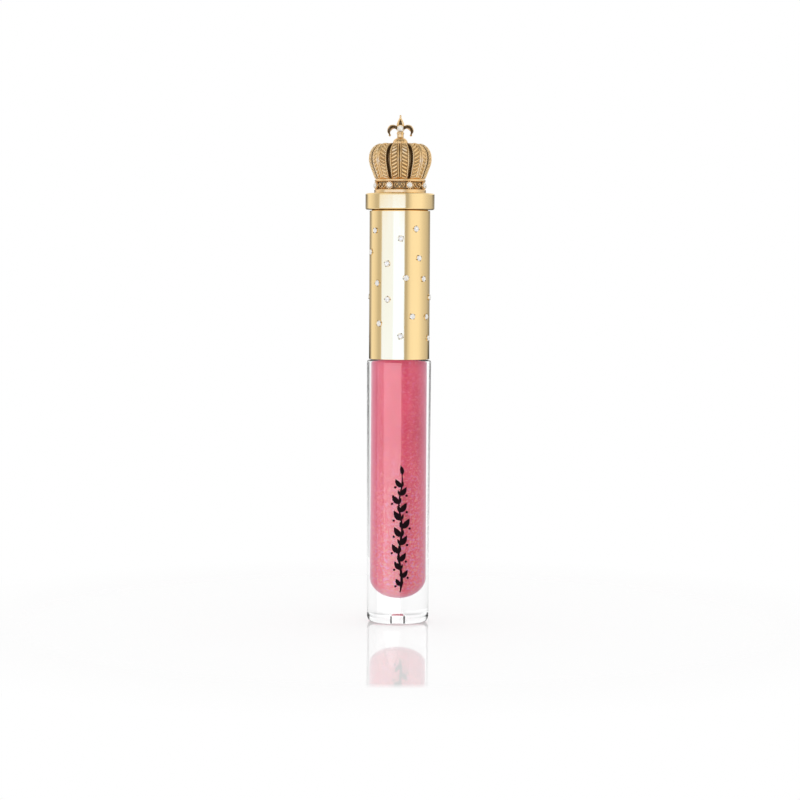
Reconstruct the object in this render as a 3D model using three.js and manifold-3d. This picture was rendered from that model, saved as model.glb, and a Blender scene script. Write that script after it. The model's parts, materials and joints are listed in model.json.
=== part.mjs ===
// A lip gloss tube: a thick-walled clear bottle with a wiper in its neck, a wand on a screw cap,
// and a gilt crown on top of the cap. Millimetres, +Z up, origin at the centre of the base.
// The front of the tube faces -Y.
import * as THREE from "three";
import { mergeVertices } from "three/addons/utils/BufferGeometryUtils.js";
import Module from "manifold-3d";

// ---------- driving dimensions ----------

// Bottle
const SHOULDER_R = 8.0; // outer radius at the shoulder
const BASE_R = 7.72; // outer radius at the base, after the mould's draft
const BASE_FILLET = 1.0;
const SHOULDER_Z = 65.6;
const CAVITY_R = 4.65;
const CAVITY_FLOOR_Z = 6.1;
const GATE_TOP_R = 0.9; // moulding gate recess under the base
const GATE_R = 1.5;
const GATE_MOUTH_R = 2.0;
const GATE_MOUTH_DEPTH = 0.6;
const GATE_DEPTH = 2.2;
const NECK_TOP_Z = 78.6;
const NECK_R = 5.3;
const NECK_CREST_R = 5.75; // over the thread

// Screw thread, shared by the neck and the inner cap
const PITCH = 2.5;
const THREAD_TURNS = 3;
const THREAD_FOOT = 1.1; // axial width of a ridge at its root
const THREAD_TIP = 0.5; // axial width of a ridge at its crest
const NECK_THREAD_Z = 68.2; // where the neck's ridge starts

// Gloss and wand
const GLOSS_R = 4.55;
const GLOSS_TOP_Z = 67.0;
const WAND_CHANNEL_R = 2.2; // space the wand takes up in the gloss
const ROD_R = 1.75;
const ROD_FOOT_Z = 19.0; // where the applicator begins
const TIP_Z = 8.1;
const TIP_R = 2.0;

// Wiper
const WIPER_LIP_R = 2.1;
const WIPER_BORE_R = 3.2;
const WIPER_TOP_Z = 79.4;
const WIPER_FOOT_Z = 71.0;

// Cap
const CAP_BASE_Z = 65.85;
const INNER_CAP_R = 6.9;
const RIB_R = 7.05; // over the ribs that grip the sleeve
const RIB_COUNT = 12;
const CAP_THREAD_ROOT_R = 6.3;
const CAP_THREAD_CREST_R = 5.85; // 0.1 mm clear of the neck's crest
const INNER_CAP_TOP_Z = 98.9;
const SLEEVE_BORE_R = 7.1;
const SLEEVE_R = 7.55;
const SLEEVE_TOP_Z = 102.75;
const COLLAR_R = 8.6;
const COLLAR_FOOT_Z = 103.05;
const COLLAR_TOP_Z = 107.1;
const COLLAR_EDGE = 0.4;

// Crown
const CROWN_FOOT_Z = 107.4;
const CIRCLET_Z = 109.0; // mid-height of the jewelled band
const CIRCLET_R = 6.5;
const ARCH_COUNT = 8;
const CHANNEL_DEPTH = 0.9; // groove between two arches
const CROWN_TOP_Z = 119.35;
const CROWN_TURN = -1.5; // degrees that the crown sits round from square
const FINIAL_TOP_Z = 126.6;
const FLEUR_THICKNESS = 1.3;

// Stones
const STONE_R = 0.75;
const STONE_HEIGHT = 0.4;
const CIRCLET_STONE_R = 0.72;
const FINIAL_STONE_R = 0.78;
const STONE_SEAT = 0.05; // glue line under a stone
// Degrees round from the front towards +X, and height, of the stones on half of the sleeve.
const STONE_SCATTER = [
  [-53, 97.8],
  [32, 98.2],
  [2, 95.8],
  [-69, 92.5],
  [39, 91.0],
  [-24, 89.6],
  [12, 86.1],
  [51, 85.9],
  [-46, 84.8],
  [76, 81.3],
  [-23, 80.8],
  [25, 76.6],
  [61, 76.5],
  [-41, 74.8],
  [2, 71.7],
  [70, 71.2],
];

// Facets round a full turn
const ROUND = 40;
const CROWN_ROUND = 48;
const SLIM_ROUND = 24;
const THREAD_ROUND = 24;
const STONE_ROUND = 8;

// ---------- materials ----------

const finish = (color, roughness, metalness) => new THREE.MeshStandardMaterial({ color, roughness, metalness });
const GILT = finish(0xe8bf7a, 0.18, 1.0);
const OLD_GILT = finish(0xc79a58, 0.35, 1.0);
const CRYSTAL = finish(0xf6f7fb, 0.03, 0.0);
const FLOCK = finish(0xf3e9ea, 0.95, 0.0);
const GLOSS = finish(0xe0708c, 0.25, 0.0);
const IVORY_PLASTIC = finish(0xf2f0ea, 0.4, 0.0);
const SOFT_PLASTIC = finish(0xe6e8ea, 0.5, 0.0);
const CLEAR_PLASTIC = finish(0xf3f5f6, 0.05, 0.0);
CLEAR_PLASTIC.transparent = true;
CLEAR_PLASTIC.opacity = 0.35;

// ---------- shape helpers ----------

const wasm = await Module();
wasm.setup();

// A turned solid from [radius, height] points, listed with the outer wall going up.
function lathe(profile, sides = ROUND) {
  const points = profile.map(([r, z]) => new THREE.Vector2(r, z));
  return new THREE.LatheGeometry(points, sides).rotateX(Math.PI / 2);
}

// Points of a round corner in a profile, from one angle to another in degrees.
function arc(centreR, centreZ, radius, from, to, steps) {
  return Array.from({ length: steps + 1 }, (_, i) => {
    const angle = THREE.MathUtils.degToRad(THREE.MathUtils.lerp(from, to, i / steps));
    return [centreR + radius * Math.cos(angle), centreZ + radius * Math.sin(angle)];
  });
}

function toSolid(geometry) {
  const bare = geometry.clone();
  bare.deleteAttribute("normal");
  bare.deleteAttribute("uv");
  const merged = mergeVertices(bare, 1e-4);
  return new wasm.Manifold(
    new wasm.Mesh({
      numProp: 3,
      vertProperties: merged.attributes.position.array,
      triVerts: new Uint32Array(merged.index.array),
    }),
  );
}

function toGeometry(solid) {
  const { vertProperties, triVerts } = solid.getMesh();
  return new THREE.BufferGeometry()
    .setAttribute("position", new THREE.BufferAttribute(vertProperties, 3))
    .setIndex(new THREE.BufferAttribute(triVerts, 1));
}

const join = (...pieces) => toGeometry(pieces.map(toSolid).reduce((a, b) => a.add(b)));
const cut = (piece, tool) => toGeometry(toSolid(piece).subtract(toSolid(tool)));

// A right-hand screw ridge that stands from rootR to crestR, starting at height startZ.
// It is a straight bar wrapped round the axis, and it fades out over its last eighths of a turn.
function threadRidge(rootR, crestR, startZ) {
  const fadeTurns = 1 / 8;
  const buried = Math.sign(rootR - crestR) * 0.15;
  const section = new THREE.Shape([
    new THREE.Vector2(rootR + buried, -THREAD_FOOT / 2),
    new THREE.Vector2(crestR, -THREAD_TIP / 2),
    new THREE.Vector2(crestR, THREAD_TIP / 2),
    new THREE.Vector2(rootR + buried, THREAD_FOOT / 2),
  ]);
  const bar = new THREE.ExtrudeGeometry(section, {
    depth: THREAD_TURNS,
    steps: THREAD_TURNS * THREAD_ROUND,
    bevelEnabled: false,
  });
  const position = bar.getAttribute("position");
  for (let i = 0; i < position.count; i++) {
    const turns = position.getZ(i);
    const fade = Math.min(1, turns / fadeTurns, (THREAD_TURNS - turns) / fadeTurns);
    const fromRoot = position.getX(i) - rootR;
    const outside = fromRoot * (crestR - rootR) > 0;
    const radius = rootR + (outside ? fromRoot * fade : fromRoot);
    const angle = turns * 2 * Math.PI;
    position.setXYZ(
      i,
      radius * Math.cos(angle),
      radius * Math.sin(angle),
      startZ + turns * PITCH - position.getY(i),
    );
  }
  return bar;
}

// ---------- bottle and what it holds ----------

function bottle() {
  const body = lathe([
    [0, GATE_DEPTH],
    [GATE_TOP_R, GATE_DEPTH],
    [GATE_R, GATE_DEPTH - 0.5],
    [GATE_R, GATE_MOUTH_DEPTH],
    [GATE_MOUTH_R, GATE_MOUTH_DEPTH],
    [GATE_MOUTH_R, 0],
    ...arc(BASE_R - BASE_FILLET, BASE_FILLET, BASE_FILLET, -90, 0, 4),
    [SHOULDER_R, SHOULDER_Z - 0.15],
    [SHOULDER_R - 0.15, SHOULDER_Z],
    [NECK_R, SHOULDER_Z],
    [NECK_R, NECK_TOP_Z - 0.2],
    [NECK_R - 0.2, NECK_TOP_Z],
    [CAVITY_R, NECK_TOP_Z],
    ...arc(0, CAVITY_FLOOR_Z + CAVITY_R, CAVITY_R, 0, -80, 5),
    [0, CAVITY_FLOOR_Z],
  ]);
  return join(body, threadRidge(NECK_R, NECK_CREST_R, NECK_THREAD_Z));
}

function glossFill() {
  return lathe(
    [
      [0, CAVITY_FLOOR_Z + 0.1],
      ...arc(0, CAVITY_FLOOR_Z + CAVITY_R, GLOSS_R, -80, 0, 5),
      [GLOSS_R, GLOSS_TOP_Z],
      [WAND_CHANNEL_R, GLOSS_TOP_Z],
      [WAND_CHANNEL_R, TIP_Z],
      [0, TIP_Z - 0.5],
    ],
    32,
  );
}

function wiper() {
  const outerR = CAVITY_R - 0.1;
  const flangeFoot = NECK_TOP_Z + 0.1;
  return lathe(
    [
      [WIPER_BORE_R + 0.2, WIPER_FOOT_Z],
      [outerR - 0.3, WIPER_FOOT_Z],
      [outerR, WIPER_FOOT_Z + 1.0],
      [outerR, flangeFoot],
      [NECK_R - 0.1, flangeFoot],
      [NECK_R - 0.1, WIPER_TOP_Z],
      [WIPER_BORE_R + 0.2, WIPER_TOP_Z],
      [WIPER_BORE_R, WIPER_TOP_Z - 0.3],
      [WIPER_BORE_R, WIPER_FOOT_Z + 4.6],
      [WIPER_LIP_R, WIPER_FOOT_Z + 1.2],
      [WIPER_LIP_R, WIPER_FOOT_Z + 0.8],
      [WIPER_BORE_R + 0.2, WIPER_FOOT_Z],
    ],
    32,
  );
}

// ---------- wand ----------

const SPIGOT_R = 0.9;
const SPIGOT_FOOT_Z = 14.6;
const PLUG_R = 2.9; // seals inside the wiper
const FLANGE_R = 4.4;
const FLANGE_Z = 79.7;
const HEAD_R = 3.1; // snaps into the inner cap
const HEAD_TOP_Z = 86.3;

function rod() {
  return lathe(
    [
      [0, SPIGOT_FOOT_Z],
      [SPIGOT_R, SPIGOT_FOOT_Z],
      [SPIGOT_R, ROD_FOOT_Z],
      [ROD_R, ROD_FOOT_Z],
      [ROD_R, 76.3],
      [PLUG_R, 77.0],
      [PLUG_R, FLANGE_Z],
      [FLANGE_R, FLANGE_Z],
      [FLANGE_R, FLANGE_Z + 0.8],
      [HEAD_R, FLANGE_Z + 0.8],
      [HEAD_R, 82.4],
      [HEAD_R + 0.2, 82.8],
      [HEAD_R, 83.2],
      [HEAD_R, HEAD_TOP_Z],
      [0, HEAD_TOP_Z],
    ],
    SLIM_ROUND,
  );
}

// A flocked tip with one slanted face.
function applicator() {
  const boreR = SPIGOT_R + 0.1;
  const boreFloor = SPIGOT_FOOT_Z - 0.3;
  const top = ROD_FOOT_Z - 0.1;
  const tip = lathe(
    [
      [0, TIP_Z],
      ...arc(0, TIP_Z + 1.2, 1.2, -60, -15, 3),
      [1.7, TIP_Z + 2.6],
      [TIP_R, TIP_Z + 5.0],
      [TIP_R, TIP_Z + 8.0],
      [1.6, top],
      [boreR, top],
      [boreR, boreFloor],
      [0, boreFloor],
    ],
    SLIM_ROUND,
  );
  const slant = new THREE.BoxGeometry(6, 4, 12).rotateX(THREE.MathUtils.degToRad(14)).translate(0, -2.9, TIP_Z);
  return cut(tip, slant);
}

// ---------- cap ----------

function innerCap() {
  const ceiling = FLANGE_Z + 1.2;
  const socketR = HEAD_R + 0.35;
  const socketTop = HEAD_TOP_Z + 0.3;
  const hollowR = 5.0;
  const hollowFloor = socketTop + 1.4;
  const body = lathe([
    [0, socketTop],
    [socketR, socketTop],
    [socketR, ceiling],
    [CAP_THREAD_ROOT_R, ceiling],
    [CAP_THREAD_ROOT_R, CAP_BASE_Z + 0.3],
    [CAP_THREAD_ROOT_R + 0.25, CAP_BASE_Z + 0.05],
    [INNER_CAP_R, CAP_BASE_Z + 0.05],
    [INNER_CAP_R, INNER_CAP_TOP_Z],
    [hollowR, INNER_CAP_TOP_Z],
    [hollowR, hollowFloor],
    [0, hollowFloor],
  ]);
  const ribs = Array.from({ length: RIB_COUNT }, (_, i) => {
    const depth = 0.4;
    const height = INNER_CAP_TOP_Z - CAP_BASE_Z - 3;
    return new THREE.BoxGeometry(depth, 0.7, height)
      .translate(RIB_R - depth / 2, 0, CAP_BASE_Z + 1.5 + height / 2)
      .rotateZ((i * 2 * Math.PI) / RIB_COUNT);
  });
  const ridge = threadRidge(CAP_THREAD_ROOT_R, CAP_THREAD_CREST_R, NECK_THREAD_Z - PITCH / 2);
  return join(body, ridge, ...ribs);
}

function capSleeve() {
  const edge = 0.1;
  return lathe([
    [SLEEVE_BORE_R, CAP_BASE_Z],
    [SLEEVE_R - edge, CAP_BASE_Z],
    [SLEEVE_R, CAP_BASE_Z + edge],
    [SLEEVE_R, SLEEVE_TOP_Z - edge],
    [SLEEVE_R - edge, SLEEVE_TOP_Z],
    [SLEEVE_BORE_R, SLEEVE_TOP_Z],
    [SLEEVE_BORE_R, CAP_BASE_Z],
  ]);
}

const BOSS_R = 4.6; // the crown fits over it
const BOSS_HEIGHT = 2.2;

function capCollar() {
  const plugR = SLEEVE_BORE_R - 0.15;
  const plugFoot = INNER_CAP_TOP_Z + 0.4;
  const hollowR = 5.6;
  const hollowTop = COLLAR_FOOT_Z + 1.2;
  const edgeR = COLLAR_R - COLLAR_EDGE;
  return lathe([
    [0, hollowTop],
    [hollowR, hollowTop],
    [hollowR, plugFoot],
    [plugR, plugFoot],
    [plugR, COLLAR_FOOT_Z],
    ...arc(edgeR, COLLAR_FOOT_Z + COLLAR_EDGE, COLLAR_EDGE, -90, 0, 3),
    ...arc(edgeR, COLLAR_TOP_Z - COLLAR_EDGE, COLLAR_EDGE, 0, 90, 3),
    [BOSS_R, COLLAR_TOP_Z],
    [BOSS_R, COLLAR_TOP_Z + BOSS_HEIGHT],
    [0, COLLAR_TOP_Z + BOSS_HEIGHT],
  ]);
}

// ---------- crown ----------

const PEG_R = 0.7; // the finial's, through the crown's top
const PEG_HOLE_R = 1.0;

// A cast shell: a plain foot, a circlet, and a bulbous dome of arches with grooves between them.
function crownBody() {
  const cavityR = BOSS_R + 0.3;
  const shellTop = CROWN_TOP_Z - 1.9;
  const foot = [
    [cavityR, CROWN_FOOT_Z],
    [6.3, CROWN_FOOT_Z],
    [6.45, CROWN_FOOT_Z + 0.15],
    [6.45, CROWN_FOOT_Z + 0.55],
    [6.1, CROWN_FOOT_Z + 0.75],
    [CIRCLET_R, CIRCLET_Z - 0.7],
    [CIRCLET_R, CIRCLET_Z + 0.8],
    [6.1, CIRCLET_Z + 1.1],
  ];
  const dome = new THREE.SplineCurve(
    [
      [6.15, 110.3],
      [6.85, 112.3],
      [7.5, 114.2],
      [7.7, 115.7],
      [7.4, 117.3],
      [6.35, 118.6],
      [4.4, 119.45],
      [2.4, CROWN_TOP_Z],
    ].map(([r, z]) => new THREE.Vector2(r, z)),
  )
    .getPoints(13)
    .map((p) => [p.x, p.y]);
  const inside = [
    [PEG_HOLE_R, CROWN_TOP_Z],
    [PEG_HOLE_R, shellTop],
    [3.6, shellTop - 0.3],
    [5.3, 115.7],
    [5.5, 113.4],
    [cavityR, 110.6],
    [cavityR, CROWN_FOOT_Z],
  ];
  const profile = [...foot, ...dome, ...inside];
  const shell = lathe(profile, CROWN_ROUND);
  sinkChannels(shell, profile.length, foot.length, foot.length + dome.length - 1);
  return shell;
}

// Pulls the dome's rows, numbered first to last in the profile, inwards between the arches.
function sinkChannels(shell, rows, first, last) {
  const halfWidth = THREE.MathUtils.degToRad(11);
  const step = (2 * Math.PI) / ARCH_COUNT;
  const position = shell.getAttribute("position");
  for (let i = 0; i < position.count; i++) {
    const row = i % rows;
    if (row <= first || row >= last) continue;
    const x = position.getX(i);
    const y = position.getY(i);
    const radius = Math.hypot(x, y);
    const fromArch = Math.abs(THREE.MathUtils.euclideanModulo(Math.atan2(y, x) + step / 2, step) - step / 2);
    const across = 1 - THREE.MathUtils.smoothstep(step / 2 - fromArch, 0, halfWidth);
    const along = Math.min(1, (row - first) / 2, (last - row) / 3);
    const shrink = 1 - (CHANNEL_DEPTH * across * along) / radius;
    position.setXY(i, x * shrink, y * shrink);
  }
}

// Half of the fleur's outline from its tip down, in x and height; the other half mirrors it.
function fleurOutline() {
  const half = new THREE.Path();
  half.moveTo(0, FINIAL_TOP_Z);
  half.quadraticCurveTo(0.3, 126.2, 0.25, 125.9);
  half.quadraticCurveTo(0.85, 125.0, 0.85, 124.3);
  half.quadraticCurveTo(0.85, 123.9, 0.7, 123.6);
  half.bezierCurveTo(1.6, 124.5, 3.0, 124.3, 3.3, 122.9);
  half.quadraticCurveTo(3.45, 122.1, 2.85, 121.5);
  half.quadraticCurveTo(2.3, 121.5, 2.5, 121.9);
  half.bezierCurveTo(2.7, 122.9, 1.9, 123.2, 1.35, 122.3);
  half.lineTo(0.85, 121.9);
  half.lineTo(0.85, 121.3);
  half.lineTo(0, 121.3);
  const right = half.getPoints(4);
  const left = right
    .slice(1, -1)
    .reverse()
    .map((p) => new THREE.Vector2(-p.x, p.y));
  return new THREE.Shape([...right.slice(0, -1), ...left]);
}

// The fleur plate stands on a round hub, whose peg goes down through the crown.
function crownFinial() {
  const hubFoot = CROWN_TOP_Z + 0.1;
  const hub = lathe(
    [
      [0, CROWN_TOP_Z - 2.2],
      [PEG_R, CROWN_TOP_Z - 2.2],
      [PEG_R, hubFoot],
      [1.9, hubFoot],
      [1.95, hubFoot + 0.5],
      [1.5, hubFoot + 1.0],
      [0.85, hubFoot + 1.35],
      [0.85, 121.9],
      [0, 121.9],
    ],
    SLIM_ROUND,
  );
  const plate = new THREE.ExtrudeGeometry(fleurOutline(), { depth: FLEUR_THICKNESS, bevelEnabled: false })
    .translate(0, 0, -FLEUR_THICKNESS / 2)
    .rotateX(Math.PI / 2);
  return join(hub, plate);
}

// ---------- stones ----------

// A flat-backed stone that stands along +Z from its back.
function stone(radius) {
  const tableR = radius * 0.58;
  return lathe(
    [
      [0, 0],
      [radius, 0],
      [tableR, STONE_HEIGHT],
      [0, STONE_HEIGHT],
    ],
    STONE_ROUND,
  );
}

// Puts a stone's back at distance r from the axis, turned degrees round from the front.
function seatStone(mesh, degrees, r, z) {
  const angle = THREE.MathUtils.degToRad(degrees);
  const outward = new THREE.Vector3(Math.sin(angle), -Math.cos(angle), 0);
  mesh.quaternion.setFromUnitVectors(new THREE.Vector3(0, 0, 1), outward);
  mesh.position.copy(outward).multiplyScalar(r).setZ(z);
}

// ---------- assembly ----------

const tube = new THREE.Group();

function place(parent, name, geometry, material) {
  const mesh = new THREE.Mesh(geometry, material);
  mesh.name = name;
  parent.add(mesh);
  return mesh;
}

place(tube, "bottle", bottle(), CLEAR_PLASTIC);
place(tube, "gloss_fill", glossFill(), GLOSS);
place(tube, "wiper", wiper(), SOFT_PLASTIC);

const cap = new THREE.Group();
tube.add(cap);
place(cap, "rod", rod(), IVORY_PLASTIC);
place(cap, "applicator", applicator(), FLOCK);
place(cap, "inner_cap", innerCap(), IVORY_PLASTIC);
place(cap, "cap_sleeve", capSleeve(), GILT);
place(cap, "cap_collar", capCollar(), GILT);

[0, 180].forEach((halfTurn, half) =>
  STONE_SCATTER.forEach(([degrees, z], i) => {
    const number = String(half * STONE_SCATTER.length + i + 1).padStart(2, "0");
    const mesh = place(cap, "stone_" + number, stone(STONE_R), CRYSTAL);
    seatStone(mesh, degrees + halfTurn, SLEEVE_R + STONE_SEAT, z);
  }),
);

const crown = new THREE.Group();
crown.rotation.z = THREE.MathUtils.degToRad(CROWN_TURN);
cap.add(crown);
place(crown, "crown_body", crownBody(), OLD_GILT);
place(crown, "crown_finial", crownFinial(), OLD_GILT);

for (let i = 0; i < ARCH_COUNT; i++) {
  const mesh = place(crown, "crown_crystal_" + (i + 1), stone(CIRCLET_STONE_R), CRYSTAL);
  seatStone(mesh, ((i + 0.5) * 360) / ARCH_COUNT, CIRCLET_R + STONE_SEAT, CIRCLET_Z);
}
["front", "back"].forEach((side, i) => {
  const mesh = place(crown, "finial_crystal_" + side, stone(FINIAL_STONE_R), CRYSTAL);
  seatStone(mesh, i * 180, FLEUR_THICKNESS / 2 + STONE_SEAT, 123.2);
});

export default tube;
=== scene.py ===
# A lip gloss tube: its fine surfaces, finishes, light and camera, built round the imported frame.
# Shapes are worked out in millimetres and scaled to metres as each mesh is made. The front faces -Y.
import json
from math import ceil, copysign, cos, pi, radians, sin, tan

import bmesh
import bpy
import numpy as np
from mathutils import Euler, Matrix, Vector
from numpy.linalg import norm

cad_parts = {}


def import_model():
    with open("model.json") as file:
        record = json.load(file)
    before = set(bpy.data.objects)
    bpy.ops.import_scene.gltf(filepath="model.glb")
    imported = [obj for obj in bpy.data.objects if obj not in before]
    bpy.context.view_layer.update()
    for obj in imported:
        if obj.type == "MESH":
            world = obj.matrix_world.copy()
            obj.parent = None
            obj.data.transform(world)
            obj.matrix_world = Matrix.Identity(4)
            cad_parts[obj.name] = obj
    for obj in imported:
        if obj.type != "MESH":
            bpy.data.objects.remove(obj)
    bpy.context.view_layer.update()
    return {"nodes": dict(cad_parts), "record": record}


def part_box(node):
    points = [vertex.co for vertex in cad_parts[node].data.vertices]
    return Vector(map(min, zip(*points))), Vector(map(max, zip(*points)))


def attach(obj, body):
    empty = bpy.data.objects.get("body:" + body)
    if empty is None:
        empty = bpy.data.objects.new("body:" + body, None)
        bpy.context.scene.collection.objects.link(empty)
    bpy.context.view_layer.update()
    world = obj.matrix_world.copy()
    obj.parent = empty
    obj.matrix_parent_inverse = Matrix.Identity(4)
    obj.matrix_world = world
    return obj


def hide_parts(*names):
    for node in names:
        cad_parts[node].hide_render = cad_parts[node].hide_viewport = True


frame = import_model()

MM = 0.001
TAU = 2 * pi
SCENE = bpy.context.scene


def reach(node):
    """Outer radius, lowest and highest point of a turned CAD node."""
    low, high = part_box(node)
    return max(high.x, high.y) / MM, low.z / MM, high.z / MM


# ---------- sizes ----------

BOTTLE_R, _, NECK_TOP = reach("bottle")
BASE_R = BOTTLE_R - 0.28
SHOULDER_Z = 65.6
NECK_R = 5.3
NECK_CREST_R = 5.75
CAVITY_R = 4.65
CAVITY_FLOOR = 6.1
GATE_TOP_R = 0.9
GATE_R = 1.5
GATE_MOUTH_R = 2.0
GATE_MOUTH_DEPTH = 0.6
GATE_DEPTH = 2.2

PITCH = 2.5
THREAD_TURNS = 3
THREAD_FOOT = 1.1
THREAD_TIP = 0.5
NECK_THREAD_Z = 68.2
CAP_THREAD_Z = NECK_THREAD_Z - PITCH / 2

_, _, GLOSS_TOP = reach("gloss_fill")
WAND_CHANNEL_R = 2.2
_, TIP_FOOT, TIP_TOP = reach("applicator")
WIPER_R, WIPER_FOOT, WIPER_TOP = reach("wiper")
FLANGE_R, SPIGOT_FOOT, HEAD_TOP = reach("rod")
ROD_R = 1.75
SPIGOT_R = 0.9
RIB_R, INNER_FOOT, INNER_TOP = reach("inner_cap")
INNER_R = RIB_R - 0.15
RIB_COUNT = 12

SLEEVE_R, SLEEVE_FOOT, SLEEVE_TOP = reach("cap_sleeve")
SLEEVE_BORE_R = SLEEVE_R - 0.45
COLLAR_R, PLUG_FOOT, BOSS_TOP = reach("cap_collar")
COLLAR_FOOT = SLEEVE_TOP + 0.3

_, CROWN_FOOT, _ = reach("crown_body")
COLLAR_TOP = CROWN_FOOT - 0.3
CROWN_CAVITY_R = 4.9
CROWN_TURN = radians(-1.5)
ARCHES = 8
ARCH_HALF = 0.86  # share of an arch's pitch that the arch covers, the rest being channel
CIRCLET_Z = 109.0


# ---------- shape helpers: a shape is (points, faces) ----------


def smoothstep(low, high, value):
    t = np.clip((value - low) / (high - low), 0, 1)
    return t * t * (3 - 2 * t)


def plateau(value, low, high, soft):
    """1 between low and high, falling to 0 over soft on each side."""
    return smoothstep(low - soft, low + soft, value) * (1 - smoothstep(high - soft, high + soft, value))


def curve(points, steps=6):
    """A smooth line through points, by Catmull-Rom."""
    points = np.asarray(points, float)
    ends = [2 * points[0] - points[1], *points, 2 * points[-1] - points[-2]]
    line = []
    for a, b, c, d in zip(ends, ends[1:], ends[2:], ends[3:]):
        square, cube = 2 * a - 5 * b + 4 * c - d, 3 * b - a - 3 * c + d
        for t in np.arange(steps) / steps:
            line.append(0.5 * (2 * b + (c - a) * t + square * t**2 + cube * t**3))
    return np.array([*line, points[-1]])


def distance_along(line):
    """How far each point of a line lies from its start, along it."""
    return np.concatenate([[0], np.cumsum(norm(np.diff(line, axis=0), axis=1))])


def resample(line, step):
    """The same line with points about step apart."""
    length = distance_along(line)
    at = np.linspace(0, length[-1], max(2, round(length[-1] / step) + 1))
    return np.stack([np.interp(at, length, column) for column in line.T], axis=1)


def soften(profile, radius, hold=0.12, steps=4):
    """A profile with its corners rounded, and a point held close to each end of each corner."""
    profile = [np.array(p, float) for p in profile]
    closed = np.allclose(profile[0], profile[-1])
    inner = profile[:-1] if closed else profile[1:-1]
    before = [profile[-2], *profile[:-2]] if closed else profile[:-2]
    after = profile[1:] if closed else profile[2:]
    made = [] if closed else [profile[0]]
    for a, p, b in zip(before, inner, after):
        to_a, to_b = norm(a - p), norm(b - p)
        cut = min(radius, 0.35 * to_a, 0.35 * to_b)
        back, on = (a - p) / to_a, (b - p) / to_b
        start, end = p + back * cut, p + on * cut
        made.append(start + back * min(hold, 0.1 * to_a))
        for t in np.linspace(0, 1, steps + 1):
            made.append((1 - t) ** 2 * start + 2 * t * (1 - t) * p + t * t * end)
        made.append(end + on * min(hold, 0.1 * to_b))
    made.append(made[0] if closed else profile[-1])
    return np.array(made)


def normals(line):
    """Unit vectors square to a flat line at each of its points, to the right of its way."""
    along = np.gradient(line, axis=0)
    return np.stack([along[:, 1], -along[:, 0]], 1) / norm(along, axis=1)[:, None]


def divide(profile, low, high, step):
    """A profile with extra points, step apart, wherever it runs between the heights low and high."""
    made = [profile[0]]
    for a, b in zip(profile, profile[1:]):
        inside = min(a[1], b[1]) >= low - 1e-6 and max(a[1], b[1]) <= high + 1e-6
        pieces = max(1, ceil(abs(b[1] - a[1]) / step)) if inside else 1
        made += [a + (b - a) * i / pieces for i in range(1, pieces + 1)]
    return np.array(made)


def revolve(profile, around=96, shape=None):
    """A turned shape through [radius, height] points, the outer wall going up.
    shape(angles, radius, height) may give each point of a ring a radius of its own."""
    angles = np.arange(around) * TAU / around
    points, rings, faces = [], [], []
    closed = np.allclose(profile[0], profile[-1])
    for r, z in profile[:-1] if closed else profile:
        if r < 1e-9:
            rings.append([len(points)] * around)
            points.append((0.0, 0.0, z))
            continue
        radius = shape(angles, r, z) if shape else np.full(around, r)
        rings.append(list(range(len(points), len(points) + around)))
        points += zip(radius * np.cos(angles), radius * np.sin(angles), np.full(around, z))
    for low, high in zip(rings, rings[1:] + rings[:1] if closed else rings[1:]):
        for i in range(around):
            j = (i + 1) % around
            faces.append(tuple(dict.fromkeys((low[i], low[j], high[j], high[i]))))
    return points, faces


def sweep(path, outward, width, height, sides):
    """A rod along a path, oval in section: width sideways and height outward are half sizes."""
    path, outward = np.asarray(path, float), np.asarray(outward, float)
    count = len(path)
    width, height = np.broadcast_to(width, count), np.broadcast_to(height, count)
    outward = np.broadcast_to(outward, (count, 3))
    along = np.gradient(path, axis=0)
    sideways = np.cross(along, outward)
    sideways /= norm(sideways, axis=1)[:, None]
    turn = np.arange(sides) * TAU / sides
    rings = (
        path[:, None]
        + sideways[:, None] * (width[:, None] * np.cos(turn))[..., None]
        + outward[:, None] * (height[:, None] * np.sin(turn))[..., None]
    )
    points = [*rings.reshape(-1, 3), path[0], path[-1]]
    faces = []
    for i in range(sides):
        j = (i + 1) % sides
        for k in range(count - 1):
            low, high = k * sides, (k + 1) * sides
            faces.append((low + i, high + i, high + j, low + j))
        faces.append((len(points) - 2, i, j))
        faces.append((len(points) - 1, (count - 1) * sides + j, (count - 1) * sides + i))
    return points, faces


def ball(centre, radius, sides):
    """A round bead, turned about Z."""
    bend = np.linspace(-pi / 2, pi / 2, sides // 2 + 1)
    profile = [(max(0.0, radius * cos(a)), radius * sin(a)) for a in bend]
    profile[0], profile[-1] = (0.0, -radius), (0.0, radius)
    points, faces = revolve(profile, sides)
    return [np.add(p, centre) for p in points], faces


def gather(shapes):
    """Several shapes as one."""
    points, faces = [], []
    for more_points, more_faces in shapes:
        start = len(points)
        points.extend(more_points)
        faces.extend(tuple(start + i for i in face) for face in more_faces)
    return points, faces


def heading(direction):
    """A direction without its rise, as a unit vector."""
    level = np.array([direction[0], direction[1], 0.0])
    return level / norm(level)


def placed(shape, centre, outward, turn=0.0):
    """A shape that stands along its own +Z, set at centre and pointing outward, which is level."""
    out = heading(outward)
    across = np.array([-out[1], out[0], 0.0])
    up = np.array([0.0, 0.0, 1.0])
    points = np.asarray(shape[0], float)
    x = points[:, 0] * cos(turn) - points[:, 1] * sin(turn)
    y = points[:, 0] * sin(turn) + points[:, 1] * cos(turn)
    moved = np.asarray(centre) + x[:, None] * across + y[:, None] * up + points[:, 2:3] * out
    return list(moved), shape[1]


def turned_about_z(points, angle):
    points = np.asarray(points, float)
    c, s = cos(angle), sin(angle)
    return points @ np.array([[c, s, 0], [-s, c, 0], [0, 0, 1]])


def off_step(angles, step):
    """How far each angle lies from the nearest whole step."""
    return np.abs((angles + step / 2) % step - step / 2)


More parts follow.
